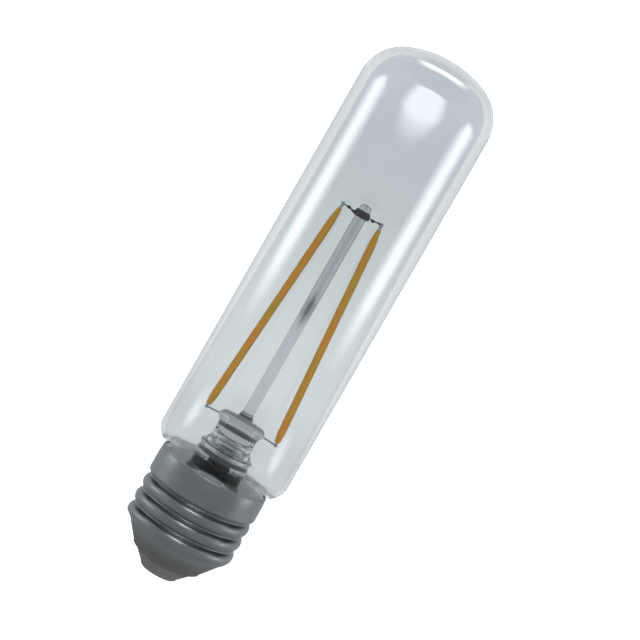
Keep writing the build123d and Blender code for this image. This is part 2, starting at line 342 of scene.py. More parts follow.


# %% [markdown]
# ## Clear glass
#
# The blown tube has a wall of about two millimetres. Only a real wall with an outside and an inside bends
# light as glass does, so the profile runs from the crown down the outside, round the neck's end and back up
# the inside. The glass takes away a little light at each crossing. How much changes with height, more near
# the dome and the shoulder as in the photograph, and its glancing edges are darker: both are painted shade.
# Next to the cap the photograph shows no glass line across the rim, so there it fades out.

# %% Glass finish
fade_slope = 0.25
faded_alpha = 0.04
rim_edge_starts, rim_edge_alpha = (27.0, 27.8), 0.9
shoulder_heights, shoulder_share = (29.0, 34.0), 0.2
edge_shade_heights = (50.0, 90.0)
low_edge_painted_shade, high_edge_painted_shade = 0.25, 0.09
low_wall_painted_shade = 0.035
wall_glance, shade_glance, edge_glance = (0.15, 0.35), (0.55, 0.8), (0.85, 0.95)
glass_bending = 1.5


def along_axis(z, low, high):
    """A height as a share of the way between two heights in millimetres."""
    return (z - low * MM) * (1.0 / ((high - low) * MM))


def tube_glass(name, low, high, colours, clear_below, clear_above):
    """Clear glass with painted shade: its tint changes along Z, and its glancing edges are painted darker,
    more low down.

    Between two heights it goes from almost nothing to its full strength, because next to the cap it hardly
    shows. Both heights lie higher on the front, and above the cap a glancing edge always shows.
    """
    made, finish = material(name)
    _, (_, y, z) = place(finish)
    tint = ramp(finish, along_axis(z, low, high), colours)
    above_fade = z - (0.0 - y).larger(0.0) * fade_slope
    # Painted shade on the glancing edges: more low down, less at the shoulder.
    above_shoulder = step_mm(finish, z, *shoulder_heights, shoulder_share, 1.0)
    painted_shade = step_mm(finish, z, *edge_shade_heights, low_edge_painted_shade, high_edge_painted_shade) * above_shoulder
    low_glancing_shade = step_mm(finish, z, *edge_shade_heights, low_wall_painted_shade, 0.0) * glancing(finish, *wall_glance)
    faded = step_mm(finish, above_fade, clear_below, clear_above, faded_alpha, 1.0)
    edge = glancing(finish, *edge_glance) * step_mm(finish, z, *rim_edge_starts, 0.0, rim_edge_alpha)
    principled(
        finish,
        Base_Color=darker(finish, tint, 1.0 - (glancing(finish, *shade_glance) * painted_shade).larger(low_glancing_shade)),
        Alpha=faded.larger(edge),
        Roughness=0.0,
        IOR=glass_bending,
        Transmission_Weight=1.0,
    )
    return made


envelope_low, envelope_high = corners("glass_envelope")
# Tints by height are painted shade, darker towards the dome and at the shoulder.
envelope_painted_shade = [
    (0.06, (0.80, 0.83, 0.845)),
    (0.1, (0.76, 0.79, 0.805)),
    (0.15, (0.765, 0.795, 0.81)),
    (0.19, (0.785, 0.815, 0.83)),
    (0.25, (0.81, 0.84, 0.857)),
    (0.4, (0.785, 0.82, 0.835)),
    (0.55, (0.74, 0.78, 0.795)),
    (0.7, (0.71, 0.745, 0.762)),
    (0.85, (0.70, 0.74, 0.765)),
    (0.95, (0.735, 0.775, 0.80)),
]
clear_glass = tube_glass(
    "clear_glass", envelope_low[2], envelope_high[2], envelope_painted_shade, clear_below=26.4, clear_above=28.2
)

# %% The envelope's line
tube_radius = envelope_high[0]
crown_height = envelope_high[2]
neck_end = envelope_low[2]
rim_height = corners("cap_shell")[1][2]
dome_wall = 2.2
neck_wall = 0.8
crown_radius = 25.0
dome_corner = 10.5
shoulder = 4.6
shoulder_gap = 0.3
neck_run_in = 0.4
neck_radius = 11.25
wall_thins_from, wall_thins_to = 92.0, 36.0


def envelope_line(dome_inset, neck_inset):
    """Crown arc, corner arc, straight side, shoulder arc and neck, from the top down.

    The inside is the same line set in by the wall.
    """
    crown_centre = np.array([0.0, crown_height - crown_radius])
    reach = tube_radius - dome_corner
    rise = np.sqrt((crown_radius - dome_corner) ** 2 - reach**2)
    corner_centre = crown_centre + [reach, rise]
    turn = np.degrees(np.arctan2(rise, reach))
    bottom = rim_height + shoulder_gap
    shoulder_centre = (tube_radius - shoulder, bottom + shoulder)
    return np.concatenate(
        [
            arc(crown_centre, crown_radius - dome_inset, 90.0, turn, 24),
            arc(corner_centre, dome_corner - dome_inset, turn, 0.0, 40)[1:],
            [(tube_radius - dome_inset, wall_thins_from), (tube_radius - neck_inset, wall_thins_to)],
            arc(shoulder_centre, shoulder - neck_inset, 0.0, -90.0, 32),
            [(neck_radius - neck_inset, bottom - neck_run_in), (neck_radius - neck_inset, neck_end)],
        ]
    )


# %% The envelope
glass_step, glass_reach = 0.35, 0.9
glass_turn, glass_gap = 2.2, 2.0
crown_thins_above, crown_thinning, crown_thinning_reach = 112.0, 0.5, 18.0
around_envelope = 224

outside = softened(envelope_line(0.0, 0.0), glass_step, glass_reach)
inside = softened(envelope_line(dome_wall, neck_wall), glass_step, glass_reach)
into_crown = np.clip((inside[:, 1] - crown_thins_above) / crown_thinning_reach, 0.0, 1.0)
inside[:, 1] += crown_thinning * into_crown**2
outside, inside = [thinned(line, glass_turn, glass_gap) for line in (outside, inside)]
wall_line = np.concatenate([outside, inside[::-1]])
envelope = surface("clear_envelope", turned(wall_line, around_envelope), clear_glass)
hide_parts("glass_envelope")

# %% [markdown]
# ## The stem
#
# A flared tube, two rings, a narrower tube and the flat press are one piece of glass, and the post was melted
# into the press. One closed surface shows them as they are, with no joint to catch the light. Its section is
# a superellipse, which can be a circle in the tube and a flat pad in the press, so a station gives the half
# width, the half depth, the height and how square the section is. The dark lines that thick glass shows are
# painted shade: tints in it by height, which stay in place from every side.

# %% Tints of the stem, painted shade
stem_low, stem_high = corners("stem_tube")
press_top = stem_high[2]
flare_low = stem_low[2]
flare_radius = stem_high[0]
post_top = corners("stem_post")[1][2]
# Greys by height are painted shade: the near-black ones are the dark lines at the rings, the press and the
# post's foot.
foot_greys = [(25.9, 0.95), (26.2, 0.8)]
lower_ring_painted_shade = [(30.1, 0.8), (30.2, 0.003), (31.05, 0.003), (31.15, 0.92)]
upper_ring_painted_shade = [(31.9, 0.92), (32.0, 0.003), (32.5, 0.003), (32.6, 0.8)]
press_painted_shade = [(36.85, 0.8), (36.95, 0.002), (37.8, 0.002), (37.9, 0.85), (39.95, 0.8)]
post_foot_painted_shade = [(40.2, 0.1), (40.4, 0.4), (40.75, 0.6), (41.3, 0.15)]
post_greys = [(41.8, 0.69), (62.0, 0.69), (74.0, 0.71), (93.3, 0.71), (93.6, 0.82)]
top_greys = [*post_foot_painted_shade, *post_greys]
front_greys = [*foot_greys, *lower_ring_painted_shade, *upper_ring_painted_shade, *press_painted_shade, *top_greys]
back_greys = [(25.9, 0.95), (29.4, 0.85), (33.6, 0.8), *top_greys]


def tints_of(greys, low, high):
    """Stops of a faintly blue grey from heights and greys."""
    return [((z - low) / (high - low), (g, g * 1.025, g * 1.045)) for z, g in greys]


# %% Stem glass
front_to_back = (-2.5, 2.0)
block_foot, block_top, block_drop = 25.0, 30.4, 1.8
block_painted_shade, block_blur = 0.965, 0.2
facet_edge = 2.5
streak_height, streak_half_length, streak_half_width = 69.2, 6.5, 0.65
streak_painted_shade = 0.9
upper_post = (62.0, 74.0)
core_width, core_painted_shade = (0.2, 0.7), 0.28
post_glance, post_edge_painted_shade = (0.48, 0.6), 0.95
arch_rise, arch_half_width = 1.4, 5.4
arch_foot = (24.9, 25.3)


def stem_glass_with_painted_shade(name, low, high):
    """Tinted glass of the stem, with painted shade. Its front has painted dark lines at the press and the
    rings, and its back none.

    Low on its front a painted dark block lies in three facets, whose outer two are lower than the middle one.
    Half way up the post a painted dark streak is one minus the squared distance from its middle, in half
    widths and half lengths, and never below zero. High up the post its core and its glancing edges are
    painted darker. Inside the cap the glass fades out under a flat arch, a parabola across the front.
    """
    made, finish = material(name)
    _, (x, y, z) = place(finish)
    along = along_axis(z, low, high)
    front = step_mm(finish, y, *front_to_back, 1.0, 0.0)
    stops = [tints_of(greys, low, high) for greys in (back_greys, front_greys)]
    tint = blend(finish, front, ramp(finish, along, stops[0]), ramp(finish, along, stops[1]))

    # Painted shade: a dark block low on the front, a dark streak on the post, and a darker core and edges
    # high up.
    outer_facet = step_mm(finish, abs(x), facet_edge - block_blur, facet_edge + block_blur, 0.0, 1.0)
    under_top = z + outer_facet * (block_drop * MM)
    block = step_mm(finish, under_top, block_top - block_blur, block_top + block_blur, 1.0, 0.0)
    block = block * step_mm(finish, z, block_foot - block_blur, block_foot + block_blur, 0.0, 1.0) * front

    aside = x * (1.0 / (streak_half_width * MM))
    above = (z - streak_height * MM) * (1.0 / (streak_half_length * MM))
    streak = (1.0 - aside * aside - above * above).larger(0.0)
    upper = step_mm(finish, z, *upper_post, 0.0, 1.0)
    core = step_mm(finish, abs(x), *core_width, core_painted_shade, 0.0) * upper
    edges = (glancing(finish, *post_glance) * upper * post_edge_painted_shade).larger(core)
    painted_shade = edges.larger(streak * streak * streak_painted_shade).larger(block * block_painted_shade)

    across_arch = x * (1.0 / (arch_half_width * MM))
    arch = (1.0 - across_arch * across_arch).larger(0.0) * (arch_rise * MM)
    principled(
        finish,
        Base_Color=darker(finish, tint, 1.0 - painted_shade),
        Alpha=step_mm(finish, z - arch, *arch_foot, faded_alpha, 1.0),
        Roughness=0.0,
        IOR=glass_bending,
        Transmission_Weight=1.0,
    )
    return made


stem_glass = stem_glass_with_painted_shade("stem_glass", flare_low, post_top)

# %% The stem's stations
post_radius = 1.35


def round_station(radius, height):
    """A station with a circular section."""
    return (radius, radius, height, 2.0)


stem_stations = [
    round_station(0.0, press_top - 5.3),
    round_station(3.95, press_top - 5.3),
    round_station(3.95, press_top - 7.75),
    round_station(5.2, press_top - 9.65),
    round_station(5.2, flare_low + 5.0),
    round_station(8.05, flare_low),
    round_station(flare_radius, flare_low),
    round_station(flare_radius, flare_low + 1.0),
    round_station(9.05, flare_low + 1.0),
    round_station(6.2, flare_low + 6.0),
    round_station(6.2, press_top - 10.8),
    round_station(6.45, press_top - 10.6),
    round_station(6.45, press_top - 10.2),
    round_station(6.15, press_top - 9.9),
    round_station(6.15, press_top - 9.0),
    round_station(6.45, press_top - 8.7),
    round_station(6.45, press_top - 8.3),
    round_station(6.1, press_top - 8.0),
    round_station(5.05, press_top - 6.7),
    round_station(4.95, press_top - 6.1),
    round_station(4.95, press_top - 4.6),
    (4.85, 4.2, press_top - 4.1, 2.1),
    (4.85, 2.6, press_top - 3.2, 2.4),
    (4.9, 2.3, press_top - 2.9, 2.6),
    (5.05, 2.25, press_top - 2.5, 2.7),
    (5.7, 2.2, press_top - 1.7, 2.8),
    (5.7, 2.2, press_top - 1.0, 2.8),
    (5.0, 2.05, press_top - 0.15, 2.6),
    (4.4, 1.95, press_top, 2.5),
    (2.3, 1.95, press_top + 0.1, 2.2),
    round_station(1.85, press_top + 0.2),
    round_station(1.75, press_top + 0.8),
    round_station(1.45, press_top + 1.3),
    round_station(post_radius, press_top + 1.6),
    round_station(post_radius, post_top - 0.7),
    round_station(0.95, post_top - 0.15),
    round_station(0.0, post_top),
]


# %% The stem and the post
def sectioned(stations, around=128):
    """Superellipses stacked along Z: x = a |cos|^(2/n), y = b |sin|^(2/n), with the signs of cos and sin."""
    wide, deep, height, square = [column[:, None] for column in stations.T]
    angle = np.linspace(0.0, 2 * np.pi, around, endpoint=False)[None, :]
    cosine, sine = np.cos(angle), np.sin(angle)
    x = wide * np.sign(cosine) * np.abs(cosine) ** (2.0 / square)
    y = deep * np.sign(sine) * np.abs(sine) ** (2.0 / square)
    return np.stack([x, y, np.broadcast_to(height, x.shape)], axis=-1)


stem_line = soft_profile(stem_stations, step=0.1, reach=0.3, turn=4.0, gap=1.5)
stem = surface("stem_and_post", sectioned(stem_line), stem_glass)
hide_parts("stem_tube", "stem_post")

# %% The exhaust tube
exhaust_low, exhaust_high = corners("exhaust_tube")
exhaust_radius = exhaust_high[0]
exhaust_wall = 0.9
exhaust_bore = exhaust_radius - exhaust_wall
seat_gap = 0.1
exhaust_top = exhaust_high[2] - seat_gap
exhaust_line = [
    (0.0, exhaust_low[2] + 2.5),
    (exhaust_bore, exhaust_low[2] + 3.6),
    (exhaust_bore, exhaust_top),
    (exhaust_radius, exhaust_top),
    (exhaust_radius, exhaust_low[2] + 1.8),
    (0.8, exhaust_low[2] + 0.2),
    (0.0, exhaust_low[2]),
]
exhaust_profile = soft_profile(exhaust_line, step=0.12, reach=0.25, turn=5.0, gap=1.0)
exhaust = surface("exhaust_tube_glass", turned(exhaust_profile, 64), stem_glass)
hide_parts("exhaust_tube")

# %% [markdown]
# ## The screw cap
#
# The shell is thin sheet that was rolled over a threaded former. Its height map is a formula: across the
# thread a circular arc from groove to groove, with the groove rounded by an average under a bell curve. The
# wave is shifted along the axis as the angle goes round, cut off by a cone at the lip and overtaken by the
# skirt at the top. As in the photograph, the ridge climbs slowly on the front, so it climbs faster behind.

# %% Cap metal
def satin_metal(name, colour, dark, roughness, line_pitch, line_depth, metallic=1.0):
    """Rolled or turned metal: fine level lines from its making, and soft stains in its colour and gloss."""
    made, finish = material(name)
    where, _ = place(finish)
    stain = noise(finish, where, 160.0, 4.0, Roughness=0.55)
    speck = noise(finish, where, 2200.0)
    along_lines, across_lines = 40.0, 1.0 / (line_pitch * MM)
    stretch = (along_lines, along_lines, across_lines)
    stretched = finish.node("ShaderNodeMapping", {}, {"Vector": where, "Scale": stretch})
    lines = noise(finish, stretched, 1.0)
    principled(
        finish,
        Base_Color=ramp(finish, stain, [(0.3, dark), (0.7, colour)]),
        Metallic=metallic,
        Roughness=roughness + stain * 0.12,
        Normal=bumped(finish, 0.5, line_depth, lines + speck * 0.15),
    )
    return made


cap_metal = satin_metal(
    "cap_metal", (0.405, 0.435, 0.455), (0.35, 0.38, 0.40), roughness=0.24, line_pitch=0.12, line_depth=0.008
)

# %% The thread's wave
skirt_radius = corners("cap_shell")[1][0]
thread_pitch = 3.629
thread_depth = 1.05
groove_round = 0.3
crest_step = 0.05
crest_radius = skirt_radius - crest_step
root_radius = crest_radius - thread_depth


def rounded_wave(step=0.01):
    """One pitch of the thread: a circular arc from groove to groove, averaged under a bell curve.

    The average runs on from one end of the pitch to the other, as the product of two Fourier transforms does.
    """
    at = np.arange(-thread_pitch / 2, thread_pitch / 2, step)
    bend = ((thread_pitch / 2) ** 2 + thread_depth**2) / (2 * thread_depth)
    sharp = crest_radius - bend + np.sqrt(bend**2 - at**2)
    bell = np.exp(-((at / groove_round) ** 2))
    weights = np.fft.ifftshift(bell / bell.sum())
    return at, np.real(np.fft.ifft(np.fft.fft(sharp) * np.fft.fft(weights)))


wave_at, thread_wave = rounded_wave()
print("thread from", round(thread_wave.min(), 2), "to", round(thread_wave.max(), 2), "mm from the axis")

# %% The sheet's outside
lip_height = corners("cap_shell")[0][2]
lip_step, lip_slope = 0.3, 1.25
lip_radius = root_radius - lip_step
top_crest = 17.89
slowing = 0.85
skirt_tilt = 0.28
skirt_start = lip_height + 3 * thread_pitch
skirt_bend = 1.3
skirt_alone = 0.3
rim_round = 0.16
rim_round_height = 3.0


def thread_radius(height, angle):
    """Distance from the axis of the rolled sheet's outside at a height and an angle from the front.

    The wave climbs by one pitch a turn, less a sine that slows it on the front. Above it the skirt bends out
    along a quarter of a sine and draws in a little towards its rim, as the square of the height. Below the
    thread a cone runs to the lip.
    """
    climb = thread_pitch * (angle - slowing * np.sin(angle)) / (2 * np.pi)
    from_crest = np.mod(height - climb - top_crest + thread_pitch / 2, thread_pitch) - thread_pitch / 2
    ridge = np.interp(from_crest, wave_at, thread_wave, period=thread_pitch)
    rise = (height - skirt_start - skirt_tilt * np.sin(angle)) / skirt_bend
    skirt = root_radius + (skirt_radius - root_radius) * np.sin(0.5 * np.pi * np.clip(rise, 0.0, 1.0))
    skirt = skirt - rim_round * np.clip((height - rim_height) / rim_round_height + 1.0, 0.0, 1.0) ** 2
    body = np.where(rise > skirt_alone, skirt, np.where(rise > 0.0, np.maximum(skirt, ridge), ridge))
    cone = lip_radius + (height - lip_height) * lip_slope
    return np.minimum(body, cone)


# %% The shell
shell_wall = 0.35
front_angle = -0.5 * np.pi
around_shell = 240
rim_soft = 0.12

thread_end = skirt_start + skirt_bend + 0.5
thread_heights = np.linspace(lip_height, thread_end, 260)
skirt_heights = np.linspace(thread_end, rim_height - rim_soft, 14)[1:]
heights = np.concatenate([thread_heights, skirt_heights])[:, None]
angles = np.linspace(-np.pi, np.pi, around_shell, endpoint=False)[None, :]
outer = thread_radius(heights, angles)
rim_edge = skirt_radius - rim_round
rim = np.array([[rim_edge - 0.03, rim_height - 0.04], [rim_edge - rim_soft, rim_height]])
inner_heights = np.linspace(rim_height - 0.05, lip_height, 60)[:, None]
inner = thread_radius(inner_heights, angles) - shell_wall
radius = np.concatenate([outer, np.repeat(rim[:, :1], around_shell, axis=1), inner])
height = np.broadcast_to(np.concatenate([heights, rim[:, 1:], inner_heights]), radius.shape)
turn = angles + front_angle
shell_points = np.stack([radius * np.cos(turn), radius * np.sin(turn), height], axis=-1)
shell = surface("threaded_shell", shell_points, cap_metal, close_rows=True)
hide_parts("cap_shell")

# %% [markdown]
# ## The cement
#
# A ring of cement holds the glass neck in the skirt. It is pressed in while soft, so it wells up a little
# between the glass and the rim. A closed profile turned round the axis shows that.

# %% Moulded finishes
def moulded(name, colour, dark, roughness, grain, paler=0.0, low=0.0, high=1.0, axis=2):
    """Moulded material: two close shades in soft clouds, and a fine grain that scatters the gloss.

    Between two places on an axis, in millimetres, it can go paler, by a share of its own brightness. That
    change is painted light and shade.
    """
    made, finish = material(name)
    where, places = place(finish)
    cloud = noise(finish, where, 220.0, 5.0)
    fine = noise(finish, where, 5200.0)
    tone = ramp(finish, cloud, [(0.3, dark), (0.7, colour)])
    principled(
        finish,
        Base_Color=darker(finish, tone, step_mm(finish, places[axis], low, high, 1.0, 1.0 + paler)),
        Roughness=roughness + cloud * 0.1,
        Normal=bumped(finish, 0.4, grain, fine),
    )
    return made


# The cement is painted darker on its front, a painted shade, and paler towards its back, a painted light.
cement_colours = (0.17, 0.175, 0.18), (0.145, 0.15, 0.155)
cement_painted_light_and_shade = moulded(
    "cement", *cement_colours, roughness=0.7, grain=0.05, paler=0.95, low=-5.0, high=4.0, axis=1
)

# %% The cement ring
cement_low, cement_high = corners("basing_cement")
cement_gap = 0.03
cement_in = neck_radius + cement_gap
cement_out = skirt_radius - rim_round - shell_wall - cement_gap
cement_line = [
    (cement_in, cement_low[2]),
    (cement_out, cement_low[2]),
    (cement_out, cement_high[2] - 0.1),
    (cement_out - 0.6, cement_high[2]),
    (cement_in + 0.35, cement_high[2]),
    (cement_in, cement_high[2] - 0.3),
]
cement = surface("cement_ring", turned(closed_profile(cement_line)), cement_painted_light_and_shade, close_rows=True)
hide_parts("basing_cement")

# %% [markdown]
# ## The insulator and the nose
#
# Below the shell a moulded cone keeps the end contact apart from the thread. Both are plain turned forms, so
# their profiles are a few corners that the averaging rounds off.

# %% Dark insulator
# The insulator is painted paler towards its top at the lip: painted light.
insulator_colours = (0.079, 0.084, 0.085), (0.065, 0.07, 0.071)
insulator_painted_light = moulded(
    "insulator", *insulator_colours, roughness=0.4, grain=0.01, paler=0.6, low=5.0, high=8.6
)

insulator_low, insulator_high = corners("cap_insulator")
contact_height = insulator_low[2]
shank_radius = 1.5
shank_top = contact_height + 2.8
collar_radius = insulator_high[0]
collar_bore = 7.05
lip_seat = lip_height + 0.13
lip_inside = lip_height + 0.4
insulator_line = [
    (shank_radius, shank_top),
    (shank_radius, contact_height),
    (7.45, contact_height),
    (8.25, contact_height + 0.5),
    (8.45, contact_height + 1.0),
    (lip_radius + 0.1, lip_seat),
    (lip_radius - shell_wall, lip_seat),
    (lip_radius - shell_wall, lip_inside),
    (collar_radius, lip_inside),
    (collar_radius, insulator_high[2]),
    (collar_bore, insulator_high[2]),
    (collar_bore, shank_top),
]
insulator_profile = closed_profile(insulator_line)
insulator = surface("insulator_cone", turned(insulator_profile), insulator_painted_light, close_rows=True)
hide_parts("cap_insulator")

# %% Plated nose
contact_colours = (0.185, 0.185, 0.185), (0.145, 0.145, 0.145)
contact_metal = satin_metal(
    "contact_metal", *contact_colours, roughness=0.45, line_pitch=0.1, line_depth=0.008, metallic=0.35
)

contact_high = corners("end_contact")[1]
contact_rim = contact_high[0]
contact_gap = 0.02
contact_line = [
    (0.0, 0.0),
    (3.95, 0.0),
    (4.45, 0.35),
    (4.65, 0.8),
    (contact_rim, contact_height - 0.5),
    (contact_rim, contact_height - contact_gap),
    (shank_radius - contact_gap, contact_height - contact_gap),
    (shank_radius - contact_gap, contact_high[2]),
    (0.0, contact_high[2]),
]
contact_profile = soft_profile(contact_line, step=0.1, reach=0.22, turn=4.0, gap=1.0)
contact = surface("contact_nose", turned(contact_profile), contact_metal)
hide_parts("end_contact")

# %% [markdown]
# ## Wires
#
# The upper wire is wound twice round the post and its two ends reach out to the filaments. The lower wires
# come out of the press. Wire is a ring carried along a path. The upper one was flattened, twisted and welded
# by hand, so its thickness swells into small knots.

# %% Wire finishes
wire_scale = 2500.0


def oxidised(name, colour, dark, metallic, gloss):
    """Dull dark wire with lighter scratches along it."""
    made, finish = material(name)
    where, _ = place(finish)
    scale = noise(finish, where, wire_scale, 3.0)
    principled(
        finish,
        Base_Color=ramp(finish, scale, [(0.35, dark), (0.75, colour)]),
        Metallic=metallic,
        Roughness=0.45 + scale * 0.2,
        Specular_IOR_Level=gloss,
        Normal=bumped(finish, 0.5, 0.02, scale),
    )
    return made


def sealed_wire(name, colour, seal_reflection, start, end):
    """Drawn wire with a painted reflection: near white where glass seals it, nearer the axis than start, and
    dull past end.
    """
    made, finish = material(name)
    where, (x, _, _) = place(finish)
    scale = noise(finish, where, wire_scale, 3.0)
    limits = {"From Min": start * MM, "From Max": end * MM}
    dull = finish.node("ShaderNodeMapRange", {}, {"Value": abs(x), **limits})
    principled(
        finish,
        Base_Color=blend(finish, dull, (*seal_reflection, 1.0), (*colour, 1.0)),
        Metallic=dull * 0.9,
        Roughness=0.4 + scale * 0.2,
        Normal=bumped(finish, 0.3, 0.01, scale),
    )
    return made


dark_wire = oxidised("dark_wire", (0.006, 0.006, 0.006), (0.002, 0.002, 0.002), metallic=0.0, gloss=0.1)
# Near the axis the lead is painted near white, a painted reflection where the glass seals it.
lead_finish = sealed_wire("lead_wire", (0.26, 0.26, 0.27), (0.92, 0.93, 0.94), start=5.0, end=5.6)

# %% The upper wire's path
support_low, support_high = corners("top_support_wire")
support_middle = (support_low[2] + support_high[2]) / 2
arm_end = support_high[0]
turn_radius = post_radius + 0.13
lower_turn_step = 0.24
bends = np.radians([-170.0, 130.0, 230.0, 550.0])

winding = np.linspace(bends[0], bends[-1], 145)
climb = np.interp(winding, bends, [-0.44, -0.42, 0.44, 0.42])
turn_reach = turn_radius + np.where(climb < 0.0, lower_turn_step, 0.0)
coil = np.stack([turn_reach * np.cos(winding), turn_reach * np.sin(winding), climb], axis=1)
left_arm = [(-arm_end, 0.0, 0.02), (-4.2, -0.1, -0.02), (-3.2, -0.25, 0.0), (-2.3, -0.35, -0.25)]
right_arm = [(1.9, -0.4, 0.1), (2.7, -0.2, -0.15), (3.6, 0.0, 0.02), (arm_end, 0.0, 0.05)]
route = softened(np.concatenate([left_arm, coil, right_arm]), 0.05, 0.2)
centre_line = route + [0.0, 0.0, support_middle]
print("upper wire points", len(route))

# %% The upper wire
turn_thickness, arm_thickness = 0.3, 0.12
arm_starts = turn_radius + 0.3
knots = [(-3.3, 0.3, 0.34), (-2.1, 0.26, 0.34), (2.75, 0.34, 0.32), (4.25, 0.2, 0.26)]
smoothed_over = 9

swelling = sum(size * np.exp(-(((route[:, 0] - at) / width) ** 2)) for at, size, width in knots)
on_arm = np.hypot(route[:, 0], route[:, 1]) > arm_starts
count = np.arange(len(route))
uneven = 0.05 * np.sin(count * 0.31) + 0.03 * np.sin(count * 0.87)
thickness = np.where(on_arm, arm_thickness + swelling, turn_thickness + uneven)
padded = np.pad(thickness, smoothed_over // 2, mode="edge")
thickness = np.convolve(padded, np.full(smoothed_over, 1 / smoothed_over), mode="valid")
upper_wire = surface("wound_upper_wire", drawn(centre_line, thickness, (0.0, 0.0, 1.0), 14), dark_wire)
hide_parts("top_support_wire")

# %% The lower wires
wire_radius = 0.22
lead_droop = 0.3
seal_ends, lead_radii = (5.2, 5.8), (0.06, 0.18)
sides = (("right", 1), ("left", -1))
for side, sign in sides:
    lead_low, lead_high = corners(f"{side}_lead_wire")
    inner_x, outer_x = (lead_low[0], lead_high[0]) if sign > 0 else (lead_high[0], lead_low[0])
    rise_x = inner_x + sign * wire_radius
    exit_height = lead_high[2] - wire_radius
    lead_route = [
        (rise_x, 0.0, lead_low[2]),
        (rise_x, 0.0, exit_height),
        (outer_x, 0.0, exit_height - lead_droop),
    ]
    lead_path = softened(lead_route, 0.1, 0.6)
    lead_thickness = np.interp(np.abs(lead_path[:, 0]), seal_ends, lead_radii)
    lead = surface(f"{side}_lead", drawn(lead_path, lead_thickness, (0.0, 1.0, 0.0)), lead_finish)
    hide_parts(f"{side}_lead_wire")

# %% [markdown]
# ## Filaments
#
# Each filament is a strip of tiny lamps under a sleeve of amber silicone with phosphor in it. Unlit, the
# sleeve looks ochre, with soft orange and olive clouds where the phosphor settled and a paler edge where it
# is thin. The sleeve is a tapered ring carried along a straight line, with a slow waviness from the way it
# was poured. The metal ends are ribbons: the same ring, flattened, on a path that hooks round the wire.

# %% Phosphor
amber, finish = material("amber_phosphor")
where, _ = place(finish)
cloud = noise(finish, where, 130.0, 3.0)
grain = noise(finish, where, 4200.0)
amber_stops = [(0.32, (0.36, 0.205, 0.001)), (0.5, (0.42, 0.195, 0.001)), (0.68, (0.48, 0.165, 0.001))]
principled(
    finish,
    Base_Color=ramp(finish, cloud, amber_stops),
    Roughness=0.5 + grain * 0.2,
    Normal=bumped(finish, 0.4, 0.02, grain),
    Specular_IOR_Level=0.04,
    Sheen_Weight=1.0,
    Sheen_Roughness=0.35,
    Sheen_Tint=(1.0, 0.78, 0.1, 1.0),
)

# %% The sleeve's thickness
sleeve_radius = 0.9
foot_radius, head_radius = 0.6, 0.48
foot_taper, head_taper = 3.0, 5.0


def sleeve_thickness(share, length, phase):
    """Radius along a sleeve: a slow waviness of two sines, drawn in at each end by a quarter of a sine."""
    poured = 0.012 * np.sin(share * 61.0) + 0.01 * np.sin(share * 143.0 + phase)
    thick = sleeve_radius + poured
    ends = ((foot_radius, share / foot_taper), (head_radius, (1.0 - share) / head_taper))
    for end_radius, from_end in ends:
        taper = np.sin(0.5 * np.pi * np.clip(from_end * length, 0.0, 1.0))
        thick = end_radius + (thick - end_radius) * taper
    return thick


# %% A tab that hooks round a wire
tab_metal = satin_metal(
    "tab_metal", (0.42, 0.43, 0.44), (0.32, 0.33, 0.34), roughness=0.35, line_pitch=0.08, line_depth=0.01
)
tab_inside = 1.2
tab_flat = 0.32
upper_hook = [(0.24, -0.25), (0.3, 0.1), (0.0, 0.4), (-0.3, 0.1), (-0.22, -0.3)]
lower_hook = [(0.2, 0.2), (0.24, -0.1), (0.0, -0.32), (-0.22, -0.05), (-0.18, 0.2)]


def hooked_tab(name, end, out_way, run, wire_height, hook, half_width, reach):
    """A flat ribbon that starts inside the sleeve, runs out of its end and bends round the wire.

    The hook's points are (depth, height) pairs about the place where the filament's line meets the wire.
    """
    hook_x = end[0] + out_way[0] / out_way[2] * (wire_height - end[2])
    bend = [(hook_x, y, wire_height + z) for y, z in hook]
    path = softened([end - tab_inside * out_way, end + run * out_way, *bend], 0.05, reach)
    return surface(name, drawn(path, half_width, (1.0, 0.0, 0.0), 12, tab_flat), tab_metal)


# %% Sleeves, strips and tabs
carrier_finish = moulded("carrier", (0.75, 0.74, 0.7), (0.65, 0.64, 0.6), roughness=0.4, grain=0.01)
end_inset, end_gap = 0.66, 0.04
strip_half_width, strip_flat, strip_end = 0.24, 0.4, 0.15
upper_tab_width, lower_tab_width = 0.34, 0.221
arm_height = support_middle + 0.03
lead_height = corners("right_lead_wire")[1][2] - wire_radius - lead_droop
share = np.linspace(0.0, 1.0, 240)
for side, sign in sides:
    coat_low, coat_high = corners(f"{side}_filament_coating")
    near_x, far_x = sorted((abs(coat_low[0]), abs(coat_high[0])))
    foot = np.array([sign * (far_x - end_inset), 0.0, coat_low[2] + end_gap])
    head = np.array([sign * (near_x + end_inset), 0.0, coat_high[2] - end_gap])
    core = foot + (head - foot) * share[:, None]
    length = np.linalg.norm(head - foot)
    lean_way = (head - foot) / length
    thick = sleeve_thickness(share, length, sign)
    sleeve = surface(f"{side}_sleeve", drawn(core, thick, (0.0, 1.0, 0.0), 24), amber)
    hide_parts(f"{side}_filament_coating")

    strip_path = softened([foot - strip_end * lean_way, head + strip_end * lean_way], 0.5, 0.5)
    strip_ring = drawn(strip_path, strip_half_width, (1.0, 0.0, 0.0), 12, strip_flat)
    strip = surface(f"{side}_strip", strip_ring, carrier_finish)
    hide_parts(f"{side}_filament_strip")

    upper_tab = hooked_tab(
        f"{side}_upper_tab", head, lean_way, 0.4, arm_height, upper_hook, upper_tab_width, reach=0.15
    )
    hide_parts(f"{side}_filament_upper_tab")

    lower_tab = hooked_tab(
        f"{side}_lower_tab", foot, -lean_way, 0.1, lead_height, lower_hook, lower_tab_width, reach=0.12
    )
    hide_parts(f"{side}_filament_lower_tab")

